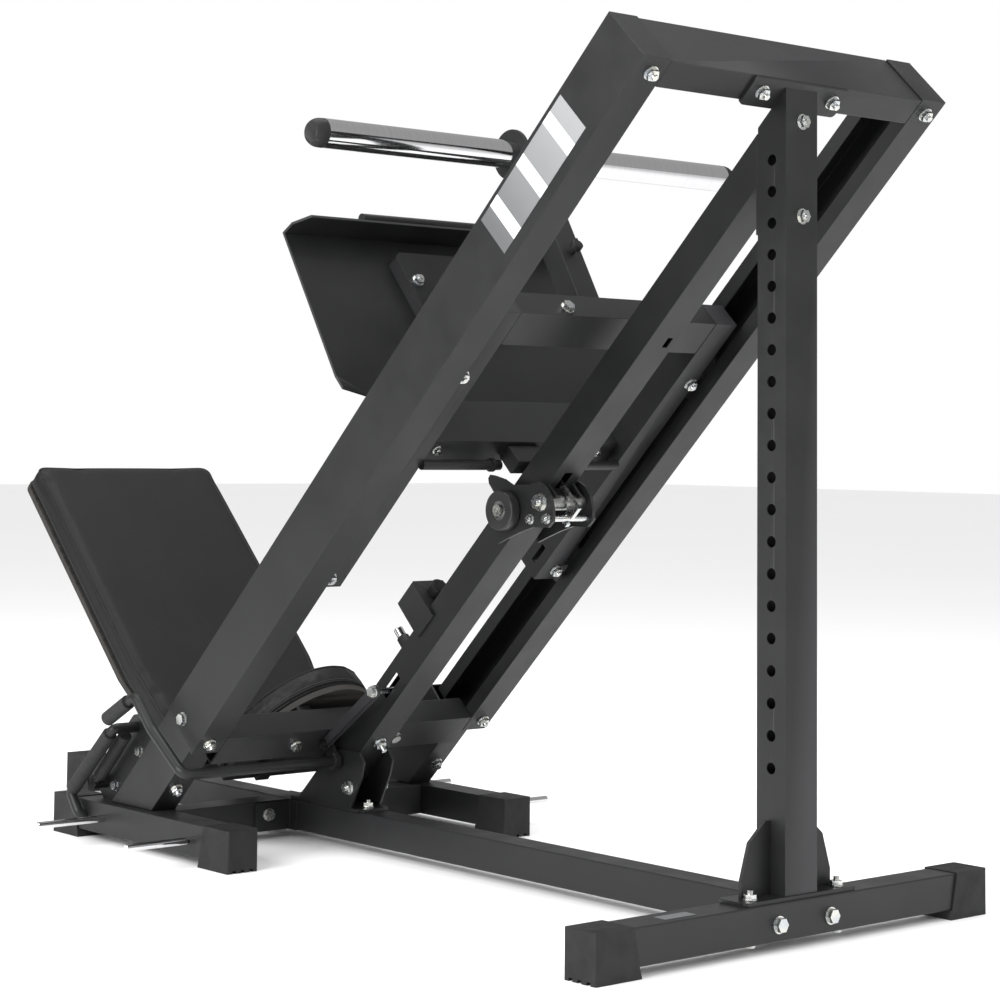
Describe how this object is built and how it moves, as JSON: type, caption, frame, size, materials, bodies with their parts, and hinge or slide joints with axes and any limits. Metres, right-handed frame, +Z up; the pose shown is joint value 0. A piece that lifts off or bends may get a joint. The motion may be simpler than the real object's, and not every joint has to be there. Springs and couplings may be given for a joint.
{
  "type": "hack squat machine",
  "caption": "Steel floor frame with sloping rails, a wheeled foot-plate carriage with a weight sleeve, a safety catch with its lever, and a padded seat and back.",
  "frame": {"origin": "on the floor under the middle of the bounding box", "axes": "+X across the machine to the side away from the safety lever, +Y along the machine from the upright to the seat, +Z up"},
  "size_m": [1.016, 2.1202, 1.4255],
  "materials": {
    "black_powder_coat": "satin fine texture",
    "zinc_steel": "satin",
    "chrome": "polished",
    "bearing_steel": "satin",
    "black_rubber": "matte",
    "foam_grip": "matte",
    "black_vinyl": "satin grain",
    "pad_board": "matte",
    "plain_label": "satin",
    "wheel_nylon": "satin"
  },
  "bodies": {
    "carriage": {"carriage_side_left": "black_powder_coat", "carriage_side_right": "black_powder_coat", "carriage_cross": "black_powder_coat", "sleeve_arm": "black_powder_coat", "weight_sleeve": "chrome", "sleeve_discs": "black_powder_coat", "sleeve_end_caps": "black_rubber", "arm_knob": "black_rubber", "wheel_axles": "zinc_steel", "catch_bars": "black_powder_coat", "foot_plate": "black_powder_coat", "plate_mount": "black_powder_coat", "plate_strut": "black_powder_coat", "carriage_bolts": "zinc_steel"},
    "wheel_left_low": {"rail_wheel_left_low": "wheel_nylon"},
    "wheel_left_high": {"rail_wheel_left_high": "wheel_nylon"},
    "wheel_right_low": {"rail_wheel_right_low": "wheel_nylon"},
    "wheel_right_high": {"rail_wheel_right_high": "wheel_nylon"},
    "catch": {"catch_plates": "black_powder_coat", "catch_bolts": "zinc_steel"},
    "idler": {"idler_wheel": "wheel_nylon", "idler_bearing": "bearing_steel"},
    "lever": {"lever_bar": "black_powder_coat", "lever_grip": "foam_grip", "lever_crank": "black_powder_coat"},
    "rod": {"push_rod": "zinc_steel"},
    "link": {"catch_link": "black_powder_coat"},
    "stop": {"stop_block": "black_powder_coat", "stop_bumper": "black_rubber"},
    "pin": {"stop_pin": "chrome"},
    "frame": {"back_pad": "black_vinyl", "back_post": "black_powder_coat", "back_spine": "black_powder_coat", "band_pegs": "chrome", "base_cross_tubes": "black_powder_coat", "beam_flanges": "black_powder_coat", "catch_bushing": "bearing_steel", "centre_beam": "black_powder_coat", "centre_foot": "black_powder_coat", "centre_tube": "black_powder_coat", "end_caps": "black_rubber", "foam_grips": "foam_grip", "frame_bolts": "zinc_steel", "grip_brackets": "black_powder_coat", "lower_posts": "black_powder_coat", "pad_boards": "pad_board", "pad_straps": "black_powder_coat", "plain_labels": "plain_label", "rail_left": "black_powder_coat", "rail_right": "black_powder_coat", "rear_beam": "black_powder_coat", "seat_cross_tube": "black_powder_coat", "seat_handles": "black_powder_coat", "seat_pad": "black_vinyl", "side_beam_left": "black_powder_coat", "side_beam_right": "black_powder_coat", "top_beam": "black_powder_coat", "upright": "black_powder_coat", "upright_foot": "black_powder_coat"}
  },
  "joints": [
    {"name": "carriage_slide", "type": "slide", "parent": "frame", "child": "carriage", "axis": [0, -0.7071, 0.7071], "range_m": [-0.308, 0.44]},
    {"name": "wheel_left_low_roll", "type": "hinge", "parent": "carriage", "child": "wheel_left_low", "pos_m": [-0.328, -0.17183, 0.54924], "axis": [1, 0, 0], "range_deg": [-360, 512]},
    {"name": "wheel_left_high_roll", "type": "hinge", "parent": "carriage", "child": "wheel_left_high", "pos_m": [-0.328, -0.52256, 0.89997], "axis": [1, 0, 0], "range_deg": [-360, 512]},
    {"name": "wheel_right_low_roll", "type": "hinge", "parent": "carriage", "child": "wheel_right_low", "pos_m": [0.328, -0.17183, 0.54924], "axis": [1, 0, 0], "range_deg": [-360, 512]},
    {"name": "wheel_right_high_roll", "type": "hinge", "parent": "carriage", "child": "wheel_right_high", "pos_m": [0.328, -0.52256, 0.89997], "axis": [1, 0, 0], "range_deg": [-360, 512]},
    {"name": "safety_lever", "type": "hinge", "parent": "frame", "child": "lever", "pos_m": [-0.2, 0.07654, 0.16546], "axis": [1, 0, 0], "range_deg": [0, 28]},
    {"name": "push_rod_slide", "type": "slide", "parent": "frame", "child": "rod", "axis": [0, -0.7071, 0.7071], "range_m": [0, 0.0137]},
    {"name": "catch_link_turn", "type": "hinge", "parent": "rod", "child": "link", "pos_m": [-0.061, -0.06064, 0.3083], "axis": [1, 0, 0], "range_deg": [-3.2, 0]},
    {"name": "catch_turn", "type": "hinge", "parent": "frame", "child": "catch", "pos_m": [0, -0.49763, 0.66892], "axis": [1, 0, 0], "range_deg": [-25.2, 0]},
    {"name": "idler_spin", "type": "hinge", "parent": "catch", "child": "idler", "pos_m": [-0.062, -0.41066, 0.65266], "axis": [1, 0, 0], "continuous": true},
    {"name": "stop_slide", "type": "slide", "parent": "frame", "child": "stop", "axis": [0, -0.7071, 0.7071], "range_m": [-0.15, 0]},
    {"name": "stop_pin_pull", "type": "slide", "parent": "stop", "child": "pin", "axis": [0, 0.7071, 0.7071], "range_m": [0, 0.012], "stiffness_N_per_m": 900, "springref_m": -0.004}
  ],
  "couplings": [
    {"joint": "wheel_left_low_roll", "follows": "carriage_slide", "rad_per_m": 20.08},
    {"joint": "wheel_left_high_roll", "follows": "carriage_slide", "rad_per_m": 20.08},
    {"joint": "wheel_right_low_roll", "follows": "carriage_slide", "rad_per_m": 20.08},
    {"joint": "wheel_right_high_roll", "follows": "carriage_slide", "rad_per_m": 20.08},
    {"joint": "push_rod_slide", "follows": "safety_lever", "m_per_rad": 0.02781},
    {"joint": "catch_link_turn", "follows": "safety_lever", "ratio": -0.11177},
    {"joint": "catch_turn", "follows": "safety_lever", "ratio": -0.897}
  ]
}
